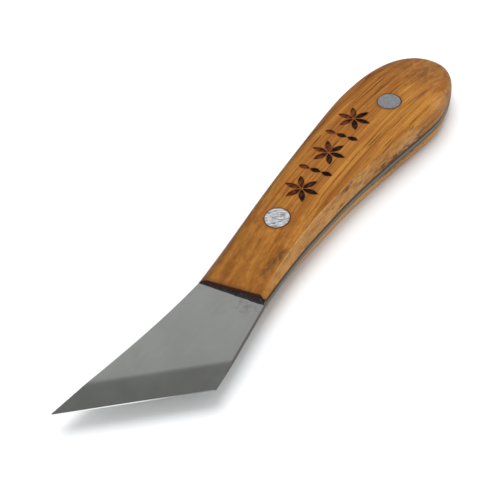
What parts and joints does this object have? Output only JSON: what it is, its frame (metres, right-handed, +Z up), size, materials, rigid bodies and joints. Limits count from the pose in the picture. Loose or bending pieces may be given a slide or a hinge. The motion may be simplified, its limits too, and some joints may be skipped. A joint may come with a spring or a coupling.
{
  "type": "chip carving knife",
  "caption": "Full-tang chip carving knife with a skewed, straight-edged blade, contoured oak scales and solid flush pins.",
  "frame": {"origin": "midway between the two pins, in the flat rest face of the lower scale", "axes": "+X along the line of the pins towards the blade, +Y towards the heel of the cutting edge, +Z up out of the upper scale"},
  "size_m": [0.192, 0.0387, 0.0138],
  "materials": {
    "blade_steel": "fine satin, ground bevel",
    "oak": "sanded and oiled oak, straight grain along the handle, scorched at the front end",
    "pin_aluminium": "coarsely sanded flush",
    "glue": "dark hardened epoxy"
  },
  "bodies": {
    "root": {"blade_and_tang": "blade_steel", "upper_scale": "oak", "lower_scale": "oak", "front_rivet": "pin_aluminium", "rear_rivet": "pin_aluminium", "upper_glue_layer": "glue", "lower_glue_layer": "glue"}
  },
  "joints": []
}
